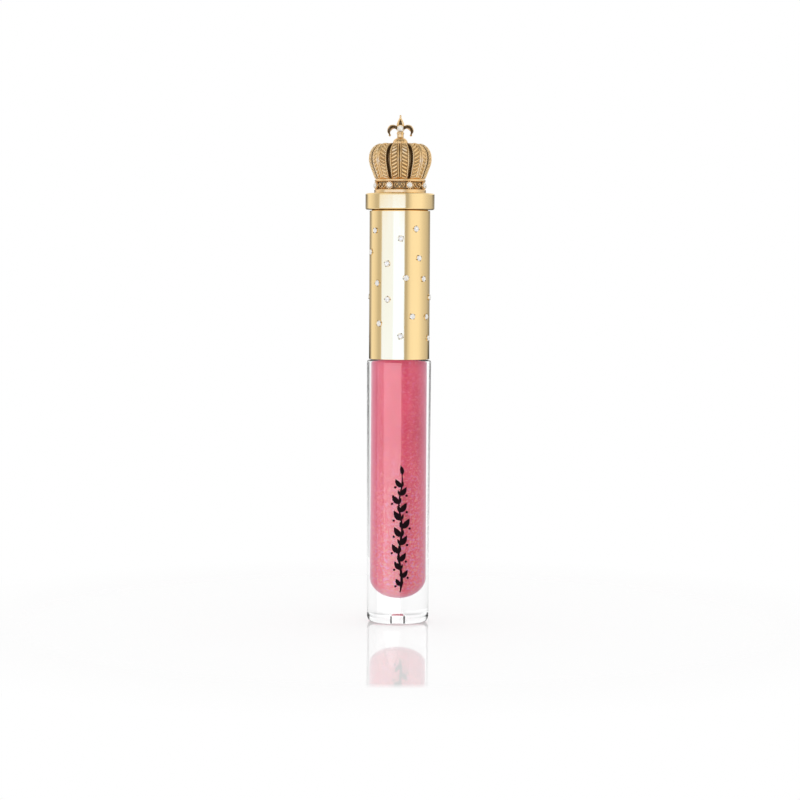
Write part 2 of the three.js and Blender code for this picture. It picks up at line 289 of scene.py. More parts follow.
def seat(node):
    """The middle of a CAD stone's back, and the level direction that it faces."""
    corners = np.array([v.co for v in frame["nodes"][node].data.vertices]) / MM
    middle = corners.mean(0)
    out = heading(middle)
    return out * (corners @ out).min() + [0, 0, middle[2]], out


# ---------- pieces ----------

BODY_OF = {node: body for body, nodes in frame["record"]["behaviour"]["bodies"].items() for node in nodes}


def mesh_object(name, shape):
    """A new object in the scene, from a shape in millimetres."""
    mesh = bpy.data.meshes.new(name)
    mesh.from_pydata((np.asarray(shape[0], float) * MM).tolist(), [], shape[1])
    made = bpy.data.objects.new(name, mesh)
    SCENE.collection.objects.link(made)
    return made


def settle(made, node_name, hides=True):
    """Sets a piece on a CAD node's body, and hides the node if it stands for it."""
    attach(made, BODY_OF[node_name])
    if hides:
        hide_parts(node_name)


def piece(name, shape, node_name, slot, *looks, hides=True, sharp=35, patina_and_painted_shade=None, outwards=False):
    """Makes a finished piece from a shape, and settles it. The patina argument gives each point its share, 0
    to 1, of the dark patina colour, patina in hollows and painted shade on the stone claws, sharp is the
    angle in degrees that stays an edge, and outwards turns every face out."""
    made = mesh_object(name, shape)
    mesh = made.data
    if outwards:
        work = bmesh.new()
        work.from_mesh(mesh)
        bmesh.ops.recalc_face_normals(work, faces=work.faces)
        work.to_mesh(mesh)
        work.free()
    mesh.shade_smooth()
    mesh.set_sharp_from_angle(angle=radians(sharp))
    if patina_and_painted_shade is not None:
        mark_patina_and_painted_shade(mesh, patina_and_painted_shade)
    for look in looks:
        mesh.materials.append(look)
    settle(made, node_name, hides)
    return made


def mark_patina_and_painted_shade(mesh, values):
    """Stores each point's share of the dark patina colour: patina where it lies deep, painted shade on the
    stone claws, and painted light as less patina on every other crown arch.
    """
    attribute = mesh.attributes.new("patina_and_painted_shade", "FLOAT", "POINT")
    attribute.data.foreach_set("value", np.asarray(values, np.float32))


# ---------- material helpers ----------


def feed(tree, socket, value):
    """Links an output to a socket, or sets the socket to a plain value."""
    if isinstance(value, bpy.types.NodeSocket):
        tree.links.new(value, socket)
    else:
        socket.default_value = value


def node(tree, kind, inputs=None, **settings):
    """Adds a shader node. inputs gives each socket a value, or the output that feeds it."""
    made = tree.nodes.new("ShaderNode" + kind)
    for name, value in settings.items():
        setattr(made, name, value)
    for socket, value in (inputs or {}).items():
        feed(tree, made.inputs[socket], value)
    return made


def new_material(name, values):
    """A material with a Principled shader holding these values; returns it and its node tree."""
    made = bpy.data.materials.new(name)
    made.use_nodes = True
    for socket, value in values.items():
        made.node_tree.nodes["Principled BSDF"].inputs[socket].default_value = value
    return made, made.node_tree


def finish(tree, colour=None, rough=None, normal=None):
    """Feeds the shader what varies over the surface."""
    inputs = tree.nodes["Principled BSDF"].inputs
    for socket, value in {"Base Color": colour, "Roughness": rough, "Normal": normal}.items():
        if value is not None:
            feed(tree, inputs[socket], value)


def noise(tree, size, detail=2.0, stretch=(1, 1, 1), rough=0.5):
    """Noise, 0 to 1, whose blotches are about size millimetres across, stretched along each axis."""
    place = node(tree, "TexCoord").outputs["Object"]
    scale = [1 / (size * MM * s) for s in stretch]
    spread = node(tree, "Mapping", {"Vector": place, "Scale": scale}).outputs["Vector"]
    inputs = {"Vector": spread, "Scale": 1.0, "Detail": detail, "Roughness": rough}
    return node(tree, "TexNoise", inputs).outputs["Fac"]


def between(tree, value, low=0.0, high=1.0, start=0.3, end=0.7):
    """Maps a value from start..end to low..high."""
    inputs = {"Value": value, "From Min": start, "From Max": end, "To Min": low, "To Max": high}
    return node(tree, "MapRange", inputs).outputs["Result"]


def maths(tree, operation, a, b=0.0):
    return node(tree, "Math", {0: a, 1: b}, operation=operation).outputs[0]


def times(tree, a, b):
    return maths(tree, "MULTIPLY", a, b)


def mixed(tree, share, a, b):
    """Colour a where share is 0 and colour b where it is 1."""
    return node(tree, "Mix", {0: share, 6: a, 7: b}, data_type="RGBA").outputs[2]


def blended(tree, share, a, b):
    """Number a where share is 0 and number b where it is 1."""
    return node(tree, "Mix", {0: share, 2: a, 3: b}).outputs[0]


def bump(tree, height, depth, strength):
    """A surface that rises with height, by at most depth in millimetres."""
    inputs = {"Height": height, "Distance": depth * MM, "Strength": strength}
    return node(tree, "Bump", inputs).outputs["Normal"]


def height_mm(tree):
    """Height above the base, in millimetres."""
    place = node(tree, "TexCoord").outputs["Object"]
    z = node(tree, "SeparateXYZ", {0: place}).outputs["Z"]
    return times(tree, z, 1 / MM)


def rgb(r, g, b):
    return (r, g, b, 1.0)


# ---------- materials ----------


PLASTIC_IOR = 1.49


def clear_plastic():
    """Thick moulded PETG: water clear, with faint flow marks and a trace of handling."""
    clear = {"Base Color": rgb(0.985, 0.99, 0.99), "Transmission Weight": 1.0}
    made, tree = new_material("clear_petg", {**clear, "IOR": PLASTIC_IOR, "Specular IOR Level": 0.5})
    haze = noise(tree, 6.0, 3.0, (1, 1, 2.5))
    flow = noise(tree, 9.0, 1.0, (1, 1, 4))
    finish(tree, None, between(tree, haze, 0.0, 0.03), bump(tree, flow, 0.01, 0.25))
    return made


PEARL_FOOT = 8.0  # the pearl is densest below this height and thinnest above the next
PEARL_TOP = 46.0


def pearl_gloss():
    """Rose gloss with fine pearl, paler and more thickly flecked towards the foot, and a painted sheen: a
    paler cool pink painted where the surface turns away from view.
    """
    sheen = {"Sheen Weight": 0.25, "Sheen Roughness": 0.35}
    made, tree = new_material("pearl_gloss", {**sheen, "IOR": PLASTIC_IOR, "Specular IOR Level": 0.18})
    swirl = noise(tree, 5.0, 3.0, (1, 1, 2.2), 0.6)
    fleck = noise(tree, 0.40, 2.0)
    spark = noise(tree, 0.55, 1.0, (1, 1.3, 0.8))
    glint = noise(tree, 0.62, 1.0, (1.3, 1, 0.9))
    # The gloss is paler, with more pearl, towards the foot.
    settled = between(tree, height_mm(tree), 1.0, 0.0, PEARL_FOOT, PEARL_TOP)
    body = mixed(tree, between(tree, swirl), rgb(0.68, 0.050, 0.110), rgb(0.80, 0.084, 0.165))
    body = mixed(tree, settled, body, rgb(0.96, 0.150, 0.220))
    spread = between(tree, settled, 0.2, 1.0, 0.0, 0.8)

    def pearls(below, grain, most, colour):
        amount = times(tree, between(tree, grain, 0.0, most, 0.54, 0.72), spread)
        return mixed(tree, amount, below, colour)

    sparked = pearls(body, fleck, 0.70, rgb(1.0, 0.50, 0.62))
    sparked = pearls(sparked, spark, 0.80, rgb(1.0, 0.46, 0.30))
    sparked = pearls(sparked, glint, 0.80, rgb(0.86, 0.32, 0.66))
    # Painted sheen: where the surface turns away, the colour itself is mixed towards a paler cool pink.
    turned = node(tree, "LayerWeight", {"Blend": 0.35}).outputs["Facing"]
    painted_edge_sheen = between(tree, turned, 0.0, 0.85, 0.16, 0.88)
    colour = mixed(tree, painted_edge_sheen, sparked, rgb(1.0, 0.46, 0.64))
    finish(tree, colour, between(tree, fleck, 0.28, 0.44), bump(tree, fleck, 0.02, 0.25))
    return made


def polished_gold(name, colour, mottle):
    """Vacuum-plated gold: mirror bright, with hairlines, and clouds about mottle millimetres across."""
    made, tree = new_material(name, {"Metallic": 1.0, "Specular Tint": rgb(1.0, 0.97, 0.90)})
    cloud = noise(tree, mottle, 3.0, (1, 1, 3))
    hair = noise(tree, 0.35, 2.0, (1, 1, 30))
    deeper = rgb(*(c * f for c, f in zip(colour, (0.97, 0.94, 0.86))))
    rough = maths(tree, "ADD", between(tree, cloud, 0.075, 0.105), between(tree, hair, 0.0, 0.035))
    clouded = mixed(tree, between(tree, cloud), rgb(*colour), deeper)
    finish(tree, clouded, rough, bump(tree, hair, 0.002, 0.25))
    return made


def antique_gold():
    """Cast gilt, bright on the ridges, with brown patina where a point attribute says it lies deep; the same
    attribute paints shade on the stone claws and paints light by taking patina off every other crown arch.
    """
    made, tree = new_material("antique_gold", {"Metallic": 1.0})
    depth = node(tree, "Attribute", attribute_name="patina_and_painted_shade").outputs["Fac"]
    grain = noise(tree, 0.5, 4.0, rough=0.6)
    patina = times(tree, depth, between(tree, grain, 0.82, 1.12))
    tone = between(tree, noise(tree, 3.0, 2.0))
    metal = mixed(tree, tone, rgb(0.93, 0.66, 0.33), rgb(0.87, 0.56, 0.25))
    colour = mixed(tree, patina, metal, rgb(0.10, 0.055, 0.02))
    rough = maths(tree, "ADD", between(tree, grain, 0.20, 0.28), times(tree, patina, 0.35))
    finish(tree, colour, rough, bump(tree, grain, 0.012, 0.35))
    return made


def crystal(name, tint_and_painted_glow):
    """Cut crystal: part clear, part a matt near-white that is a painted glow standing for the light it
    gathers, with the faintest wear on its facets.
    """
    made, tree = new_material(name, {"Base Color": tint_and_painted_glow, "Transmission Weight": 0.25, "IOR": 1.62})
    finish(tree, rough=between(tree, noise(tree, 0.6), 0.0, 0.04))
    return made


def silver_foil():
    """The mirror on the back of a crystal."""
    made, tree = new_material("silver_foil", {"Metallic": 1.0})
    crinkle = noise(tree, 0.25, 2.0)
    silver = mixed(tree, crinkle, rgb(0.95, 0.95, 0.97), rgb(0.86, 0.87, 0.90))
    finish(tree, silver, between(tree, crinkle, 0.06, 0.16), bump(tree, crinkle, 0.03, 0.5))
    return made


def moulded_plastic(name, light, dark, rough, film=None):
    """Matt moulded plastic with a fine spark-eroded grain. film is a colour left on it low down."""
    made, tree = new_material(name, {"Subsurface Weight": 0.15, "Subsurface Scale": 0.0006, "IOR": 1.46})
    shade = noise(tree, 4.0, 3.0)
    grain = noise(tree, 0.12, 2.0)
    colour = mixed(tree, between(tree, shade), light, dark)
    if film:
        streak = between(tree, noise(tree, 1.6, 3.0, (1, 1, 6)), 0.15, 0.75)
        low = between(tree, height_mm(tree), 1.0, 0.0, TIP_TOP, WIPER_FOOT)
        colour = mixed(tree, times(tree, streak, low), colour, film)
    finish(tree, colour, between(tree, shade, rough - 0.05, rough + 0.06), bump(tree, grain, 0.01, 0.3))
    return made


def flock():
    """Nylon flock, blush where gloss has soaked in."""
    made, tree = new_material("flocked_nylon", {"Sheen Weight": 0.5, "Sheen Roughness": 0.4})
    soak = between(tree, noise(tree, 1.4, 3.0))
    strand = noise(tree, 0.08, 2.0)
    wet = mixed(tree, soak, rgb(0.80, 0.34, 0.42), rgb(0.70, 0.14, 0.22))
    colour = mixed(tree, between(tree, strand, 0.0, 0.5), wet, rgb(0.93, 0.62, 0.66))
    finish(tree, colour, between(tree, soak, 0.85, 0.5), bump(tree, strand, 0.04, 0.6))
    return made


def print_ink():
    """Screen ink, near black with a warm cast and slightly uneven cover."""
    made, tree = new_material("print_ink", {"IOR": 1.5, "Specular IOR Level": 0.05})
    cover = noise(tree, 0.3, 3.0)
    black = mixed(tree, cover, rgb(0.004, 0.0005, 0.002), rgb(0.012, 0.002, 0.005))
    finish(tree, black, between(tree, cover, 0.5, 0.65), bump(tree, cover, 0.006, 0.4))
    return made


# ---------- bottle, gloss and wiper ----------


def thread(angles, z, start):
    """Height, 0 to 1, of a right-hand screw ridge that starts at height start on the +X side."""
    lap = (angles / TAU) % 1.0
    turn = np.round((z - start) / PITCH - lap) + lap
    off = np.abs(z - start - turn * PITCH)
    flank = (THREAD_FOOT / 2 - off) / ((THREAD_FOOT - THREAD_TIP) / 2)
    fade = np.minimum(turn, THREAD_TURNS - turn) * 8
    return smoothstep(0, 1, flank) * np.clip(fade, 0, 1)


def bottle_radius(z):
    """The bottle's outer radius at a height on its drafted wall."""
    return BASE_R + (BOTTLE_R - BASE_R) * (z - 1.0) / (SHOULDER_Z - 1.0)


def round_floor(radius, centre_z, steps=14):
    """The floor of a cavity, from its wall down to the axis."""
    bend = np.linspace(0, -pi / 2, steps + 1)
    line = [(radius * cos(a), centre_z + radius * sin(a)) for a in bend]
    return [*line[:-1], (0.0, line[-1][1])]


def bottle():
    outline = [
        (0, GATE_DEPTH), (GATE_TOP_R, GATE_DEPTH), (GATE_R, GATE_DEPTH - 0.5),
        (GATE_R, GATE_MOUTH_DEPTH), (GATE_MOUTH_R, GATE_MOUTH_DEPTH), (GATE_MOUTH_R, 0),
        (BASE_R - 0.90, 0), (BASE_R - 0.54, 0.16), (BASE_R - 0.30, 0.46), (BASE_R - 0.12, 0.85),
        (BASE_R, 1.45), (BOTTLE_R, SHOULDER_Z - 0.42), (BOTTLE_R - 0.12, SHOULDER_Z - 0.12),
        (BOTTLE_R - 0.42, SHOULDER_Z), (NECK_R, SHOULDER_Z), (NECK_R, NECK_TOP), (CAVITY_R, NECK_TOP),
        (CAVITY_R, CAVITY_FLOOR + CAVITY_R),
    ]
    outside = soften(outline, 0.22)
    profile = [*outside[:-1], *round_floor(CAVITY_R, CAVITY_FLOOR + CAVITY_R)]
    profile = divide(np.array(profile), SHOULDER_Z + 0.1, NECK_TOP - 0.1, 0.12)

    def threaded(angles, r, z):
        on_neck = abs(r - NECK_R) < 1e-6
        return r + on_neck * (NECK_CREST_R - NECK_R) * thread(angles, z, NECK_THREAD_Z)

    shape = revolve(profile, 144, threaded)
    piece("glass_bottle", shape, "bottle", "clear_bottle", clear_plastic())


def gloss():
    """The gloss wets the wall, so its skin lies just inside the plastic, and the wand's space stays open."""
    wet_r = CAVITY_R + 0.02
    floor = round_floor(wet_r, CAVITY_FLOOR + CAVITY_R)[::-1]
    outline = [
        floor[-1], (wet_r, GLOSS_TOP), (WAND_CHANNEL_R, GLOSS_TOP - 0.1), (WAND_CHANNEL_R, TIP_FOOT),
        (0, TIP_FOOT - 0.5),
    ]
    upper = soften(outline, 0.3)
    piece("gloss_column", revolve(np.array([*floor[:-1], *upper])), "gloss_fill", "pink_gloss", pearl_gloss())


def wiper():
    outer_r = CAVITY_R - 0.1
    bore_r = 3.2
    lip_r = 2.1
    flange_foot = NECK_TOP + 0.1
    outline = [
        (bore_r + 0.2, WIPER_FOOT), (outer_r - 0.3, WIPER_FOOT), (outer_r, WIPER_FOOT + 1.0),
        (outer_r, flange_foot), (WIPER_R, flange_foot), (WIPER_R, WIPER_TOP), (bore_r, WIPER_TOP),
        (bore_r, WIPER_FOOT + 4.6), (lip_r, WIPER_FOOT + 1.2), (lip_r, WIPER_FOOT + 0.8),
        (bore_r + 0.2, WIPER_FOOT),
    ]
    profile = soften(outline, 0.15)
    look = moulded_plastic("wiper_ldpe", rgb(0.80, 0.82, 0.84), rgb(0.72, 0.75, 0.78), 0.42)
    piece("neck_wiper", revolve(profile, 72), "wiper", "wiper_plastic", look)


# ---------- printed vine on the front of the bottle ----------

VINE_FOOT = 8.2
VINE_TOP = 39.4
VINE_SWAY = 0.4
VINE_WAVE = 12.5
VINE_OFFSET = 0.6  # the print sits a little to the right of the middle
LEAF_STEP = 2.05
LEAF = (54, 3.1, 0.74)  # lean from the stem in degrees, length and half width
SPRIG = (-34, 1.7, 0.30)  # leans to the other side
BERRY_R = 0.3
BERRY_ASIDE = 2.0
INK_STEM, INK_SPRIG, INK_BUD, INK_LEAF, INK_BERRY = 0.034, 0.030, 0.028, 0.026, 0.022  # thickness


def on_bottle(x, z, lift):
    """The point above the bottle's skin at x round from the print's middle and height z."""
    angle = (x + VINE_OFFSET) / BOTTLE_R
    radius = bottle_radius(z) + lift
    return np.array([radius * sin(angle), -radius * cos(angle), z])


def ink_patch(left, right, lift, across=4):
    """A thin slab of ink between two edges, each a list of (x, z), wrapped on the bottle."""
    shares = np.linspace(0, 1, across + 1)
    layers = [
        [on_bottle(*(a + (b - a) * s), height) for a, b in zip(left, right) for s in shares]
        for height in (-0.01, lift)
    ]
    row = across + 1
    count = len(left)
    faces = []
    for i in range(count - 1):
        for j in range(across):
            a = i * row + j
            faces.append((a, a + 1, a + row + 1, a + row))
            faces.append(tuple(count * row + k for k in (a + row, a + row + 1, a + 1, a)))
    rim = list(range(across))
    rim += [i * row + across for i in range(count - 1)]
    rim += [(count - 1) * row + j for j in range(across, 0, -1)]
    rim += [i * row for i in range(count - 1, 0, -1)]
    for a, b in zip(rim, rim[1:] + rim[:1]):
        faces.append((b, a, a + count * row, b + count * row))
    return [*layers[0], *layers[1]], faces


def stroke(line, half_widths, lift):
    """An ink line along a path, with its own half width at each point."""
    offset = normals(line) * np.asarray(half_widths)[:, None]
    return ink_patch(line - offset, line + offset, lift)


def leaf(base, direction, length, half_width, lift):
    """A pointed leaf that bends gently upwards from its base."""
    s = np.linspace(0, 1, 15)
    angle = radians(direction)
    curl = 0.28 * copysign(1, cos(angle))
    bent = angle + curl * s
    line = np.array(base) + np.stack([np.cos(bent), np.sin(bent)], 1) * (s * length)[:, None]
    widths = half_width * np.sin(pi * s**0.8) ** 0.9 + 0.02
    return stroke(line, widths, lift)


def berry(x, z, radius, lift):
    """A round dot of ink."""
    s = np.linspace(-1, 1, 13)
    line = np.stack([np.full(len(s), x), z + s * radius], 1)
    return stroke(line, radius * np.sqrt(1 - s**2) + 0.01, lift)


def sway(z):
    """How far the stem leans aside at a height."""
    return VINE_SWAY * np.sin((z - VINE_FOOT) * TAU / VINE_WAVE)


def vine():
    """A stem with a leaf, a sprig and a berry at each step, on alternate sides, smaller towards its ends."""
    z = np.linspace(VINE_FOOT, VINE_TOP - 2.0, 90)
    taper = np.interp(z, [VINE_FOOT, VINE_FOOT + 2, VINE_TOP - 4, VINE_TOP - 2], [0.12, 0.34, 0.2, 0.1])
    shapes = [stroke(np.stack([sway(z), z], 1), taper, INK_STEM)]
    for i, at in enumerate(np.arange(VINE_FOOT + 1.6, VINE_TOP - 3.0, LEAF_STEP)):
        side = 1 if i % 2 else -1
        size = 1.0 - 0.28 * abs(at - (VINE_FOOT + VINE_TOP) / 2) / (VINE_TOP - VINE_FOOT) * 2
        base = (sway(at), at)
        for (lean, length, half_width), ink in ((LEAF, INK_LEAF), (SPRIG, INK_SPRIG)):
            shapes.append(leaf(base, 90 - side * lean, length * size, half_width * size, ink))
        shapes.append(berry(base[0] + side * BERRY_ASIDE * size, at - 0.1, BERRY_R, INK_BERRY))
    shapes.append(leaf((sway(z[-1]), z[-1]), 84, 2.4, 0.5, INK_BUD))
    piece("vine_print", gather(shapes), "bottle", "clear_bottle", print_ink(), hides=False, outwards=True)


# ---------- wand ----------

PLUG_R = 2.9
HEAD_R = 3.1
FLANGE_Z = 79.7


def rod():
    outline = [
        (0, SPIGOT_FOOT), (SPIGOT_R, SPIGOT_FOOT), (SPIGOT_R, TIP_TOP + 0.1), (ROD_R, TIP_TOP + 0.1),
        (ROD_R, 76.3), (PLUG_R, 77.0), (PLUG_R, FLANGE_Z), (FLANGE_R, FLANGE_Z),
        (FLANGE_R, FLANGE_Z + 0.8), (HEAD_R, FLANGE_Z + 0.8), (HEAD_R, 82.3), (HEAD_R + 0.2, 82.8),
        (HEAD_R, 83.3), (HEAD_R, HEAD_TOP), (0, HEAD_TOP),
    ]
    profile = soften(outline, 0.15)
    light, dark, film = rgb(0.84, 0.82, 0.77), rgb(0.78, 0.75, 0.70), rgb(0.82, 0.36, 0.44)
    look = moulded_plastic("rod_pp", light, dark, 0.34, film)
    piece("wand_stem", revolve(profile, 64), "rod", "rod_plastic", look)


SLANT = tan(radians(14))
SLANT_START = 0.48  # the slanted face passes this height over the tip's foot, this far from the axis
SLANT_START_R = 0.96
FIBRES = 3200
FIBRE_LENGTH = 0.34
FIBRE_R = 0.028


def slanted(points):
    """Presses the front of the tip back to its slanted face."""
    points = np.asarray(points, float)
    face = -SLANT_START_R - (points[:, 2] - TIP_FOOT - SLANT_START) * SLANT
    points[:, 1] = np.maximum(points[:, 1], face)
    return points


def tip_core():
    """The outline of the tip, and the closed profile that adds the bore for the rod's spigot."""
    bore_floor = SPIGOT_FOOT - 0.3
    bore_r = SPIGOT_R + 0.1
    nose = [(1.16 * cos(a), TIP_FOOT + 1.2 + 1.15 * sin(a)) for a in np.radians([-60, -40, -15])]
    swell = [(1.6, TIP_FOOT + 2.6), (1.86, 13.1), (1.86, 16.1), (1.5, TIP_TOP)]
    profile = curve([(0.0, TIP_FOOT + 0.05), *nose, *swell], 5)
    profile[0, 0] = 0.0
    inside = [(bore_r, TIP_TOP), (bore_r, bore_floor), (0.0, bore_floor)]
    return profile, np.array([*profile, *inside])


def applicator():
    """The doe-foot tip, flocked all over."""
    outline, profile = tip_core()
    points, faces = revolve(profile, 48)
    shapes = [(list(slanted(points)), faces)]
    rng = np.random.default_rng(7)
    for _ in range(FIBRES):
        at = rng.uniform(0.2, len(outline) - 1.01)
        i = int(at)
        r, z = outline[i] + (outline[i + 1] - outline[i]) * (at - i)
        angle = rng.uniform(0, TAU)
        root = slanted([[r * cos(angle), r * sin(angle), z]])[0]
        lean = np.array([cos(angle), sin(angle), -0.25]) + rng.normal(0, 0.25, 3)
        shapes.append(fibre(root, lean / norm(lean) * FIBRE_LENGTH * rng.uniform(0.5, 1.0)))
    shape = gather(shapes)
    keep_in = np.asarray(shape[0])
    keep_in[:, 2] = np.maximum(keep_in[:, 2], TIP_FOOT)
    piece("doe_foot", (keep_in, shape[1]), "applicator", "flocked_tip", flock())


def fibre(root, reach_out):
    """One strand of flock: a three-sided spike."""
    side = np.cross(reach_out, (0.0, 0.0, 1.0))
    side *= FIBRE_R / norm(side)
    other = np.cross(reach_out, side)
    other *= FIBRE_R / norm(other)
    foot = root - reach_out * 0.15
    behind = foot - 0.5 * side
    points = [foot + side, behind + 0.87 * other, behind - 0.87 * other, root + reach_out]
    return points, [(0, 2, 1), (0, 1, 3), (1, 2, 3), (2, 0, 3)]


# ---------- cap ----------


def inner_cap():
    root_r, crest_r = 6.3, 5.85
    ceiling = FLANGE_Z + 1.2
    socket_r, socket_top = HEAD_R + 0.35, HEAD_TOP + 0.3
    hollow_r, hollow_floor = 5.0, HEAD_TOP + 1.7
    outline = [
        (0, socket_top), (socket_r, socket_top), (socket_r, ceiling), (root_r, ceiling),
        (root_r, INNER_FOOT + 0.3), (root_r + 0.25, INNER_FOOT), (INNER_R, INNER_FOOT),
        (INNER_R, INNER_TOP), (hollow_r, INNER_TOP), (hollow_r, hollow_floor), (0, hollow_floor),
    ]
    profile = soften(outline, 0.14)
    profile = divide(profile, INNER_FOOT, ceiling - 0.1, 0.14)

    def formed(angles, r, z):
        if abs(r - root_r) < 1e-6:
            return r + (crest_r - root_r) * thread(angles, z, CAP_THREAD_Z)
        if abs(r - INNER_R) < 1e-6:
            along = plateau(z, INNER_FOOT + 1.5, INNER_TOP - 1.5, 0.15)
            off = off_step(angles, TAU / RIB_COUNT) * INNER_R
            return r + (RIB_R - INNER_R) * along * (1 - smoothstep(0.25, 0.42, off))
        return np.full(len(angles), r)

    look = moulded_plastic("inner_cap_pp", rgb(0.82, 0.80, 0.75), rgb(0.76, 0.73, 0.68), 0.4)
    shape = revolve(profile, 240, formed)
    piece("inner_screw_cap", shape, "inner_cap", "inner_cap_plastic", look)


GOLD = (0.94, 0.71, 0.37)


def sleeve():
    outline = [
        (SLEEVE_BORE_R, SLEEVE_FOOT), (SLEEVE_R, SLEEVE_FOOT), (SLEEVE_R, SLEEVE_TOP),
        (SLEEVE_BORE_R, SLEEVE_TOP), (SLEEVE_BORE_R, SLEEVE_FOOT),
    ]
    profile = soften(outline, 0.1)
    look = polished_gold("gold_plate", GOLD, 14.0)
    piece("gold_sleeve", revolve(profile, 192), "cap_sleeve", "gold_sleeve", look)


def collar():
    plug_r = SLEEVE_BORE_R - 0.15
    hollow_r, hollow_top = 5.6, COLLAR_FOOT + 1.2
    boss_r = 4.6
    outline = [
        (0, hollow_top), (hollow_r, hollow_top), (hollow_r, PLUG_FOOT), (plug_r, PLUG_FOOT),
        (plug_r, COLLAR_FOOT), (COLLAR_R, COLLAR_FOOT), (COLLAR_R, COLLAR_TOP), (boss_r, COLLAR_TOP),
        (boss_r, BOSS_TOP), (0, BOSS_TOP),
    ]
    profile = soften(outline, 0.42, steps=7)
    look = polished_gold("gold_ring", GOLD, 9.0)
    piece("gold_collar", revolve(profile, 192), "cap_collar", "gold_collar", look)


# ---------- crown ----------

DOME_LINE = [
    (6.15, 110.3), (6.88, 112.3), (7.58, 114.2), (7.8, 115.7), (7.5, 117.4), (6.42, 118.85),
    (4.4, 119.75), (2.4, 119.8), (1.3, 119.75),
]
DOME_LINING = [(1.3, 118.0), (3.4, 117.2), (5.1, 115.9), (5.3, 113.4), (5.0, 110.9), (5.0, 110.2)]
DOME_STEP = 0.098
ARCH_COLUMNS = 66

# Places across half an arch, as shares of it.
MIDRIB = (0.075, 0.19)
BARBS = (0.235, 0.80)
BORDER = (0.84, 0.975)
WALL = (0.955, 1.04)

RELIEF = 0.34  # height of borders and midribs over the ground of an arch
BARB_HEIGHT = 0.31
BARB_PITCH = 0.98
BARB_SLOPE = 0.8
MILGRAIN = 0.16
MILGRAIN_PITCH = 0.52
PILLOW = 0.22  # how far the middle of an arch swells out
CHANNEL = 0.75  # depth of the channels under the ground

# Patina, 0 to 1, with painted light on alternate arches.
BARB_PATINA = 0.82
ALTERNATE_ARCH_PAINTED_LIGHT = 0.24  # painted light: the barbs' patina falls by twice this share from every other arch to the next, so the arches beside the front one look lighter and flatter
CHANNEL_PATINA = 0.72
WALL_PATINA = 0.92


def arch_relief(w, s, radius, length):
    """Height over the ground at w, the share of an arch's half width, and s along the dome, and the part
    of it that is free of patina. The relief fades out near the dome's foot and top."""
    across = w * radius * (TAU / ARCHES / 2) * ARCH_HALF
    midrib = plateau(w, *MIDRIB, 0.035)
    milgrain = 1 + MILGRAIN * np.cos(s * TAU / MILGRAIN_PITCH)
    border = plateau(w, *BORDER, 0.04) * milgrain
    phase = (s + BARB_SLOPE * across - 0.10 * across**2) / BARB_PITCH
    barb = (0.5 + 0.5 * np.cos(phase * TAU)) ** 0.8 * plateau(w, *BARBS, 0.03)
    whole = smoothstep(0.2, 0.7, s) * (1 - smoothstep(length - 4.2, length - 3.0, s))
    pillow = PILLOW * (1 - w**2)
    height = np.maximum(RELIEF * np.maximum(midrib, border), BARB_HEIGHT * barb)
    return height * whole + pillow * whole + 0.2 * (1 - whole), height * whole + (1 - whole) * RELIEF * 0.6


def dome_relief(line, angles):
    """How far each point of the dome stands off its line, and its share of patina from how deep it lies, 0 to
    1, with painted light taking some off every other arch.
    """
    share = off_step(angles, TAU / ARCHES) / (TAU / ARCHES / 2)
    w, s = np.meshgrid(share / ARCH_HALF, distance_along(line))
    length = s[-1, 0]
    relief, lit = arch_relief(np.minimum(w, 1.0), s, line[:, :1], length)
    open_channel = smoothstep(0.15, 0.6, s) * (1 - smoothstep(length - 3.4, length - 2.2, s))
    sunk = smoothstep(0.985, 1.03, w) * open_channel
    wall = plateau(w, *WALL, 0.03) * open_channel
    height = relief * (1 - sunk) - CHANNEL * sunk - (RELIEF + 0.2)
    # Painted light: every other arch loses some barb patina, so the arches beside the front one look brightly
    # lit.
    uneven = 1 - ALTERNATE_ARCH_PAINTED_LIGHT * (1 - np.cos(angles * ARCHES / 2))
    barbs = np.clip(1 - lit / (BARB_HEIGHT * 0.8), 0, 1) * BARB_PATINA * uneven
    return height, np.maximum(barbs, np.maximum(sunk * CHANNEL_PATINA, wall * WALL_PATINA))


def crown_dome():
    """The dome's arches, with channels between them, and its lining, as one closed skin."""
    line = resample(curve(DOME_LINE, 12), DOME_STEP)
    columns = ARCHES * ARCH_COLUMNS
    angles = np.arange(columns) * TAU / columns
    height, depth = dome_relief(line, angles)
    outer = line[:, None] + normals(line)[:, None] * height[..., None]
    inner = np.repeat(np.array(DOME_LINING)[:, None], columns, axis=1)
    radius, z = np.concatenate([outer, inner]).transpose(2, 0, 1)
    turn = angles - pi / 2 + CROWN_TURN
    points = np.stack([radius * np.cos(turn), radius * np.sin(turn), z], 2).reshape(-1, 3)
    index = np.arange(radius.size).reshape(radius.shape)
    above, right = np.roll(index, -1, 0), np.roll(index, -1, 1)
    faces = np.stack([index, right, np.roll(above, -1, 1), above], 2).reshape(-1, 4).tolist()
    patina_and_painted_shade = np.concatenate([depth, np.ones_like(inner[..., 0])]).ravel()
    piece("crown_dome", (points, faces), "crown_body", "antique_gold", GILT, sharp=75, patina_and_painted_shade=patina_and_painted_shade)


FOOT_R = 6.45
BAND_R = 5.98
BAND_FOOT = 108.15
BAND_TOP = 109.85
BAND_PATINA = 0.78
RIM_Z = 110.28


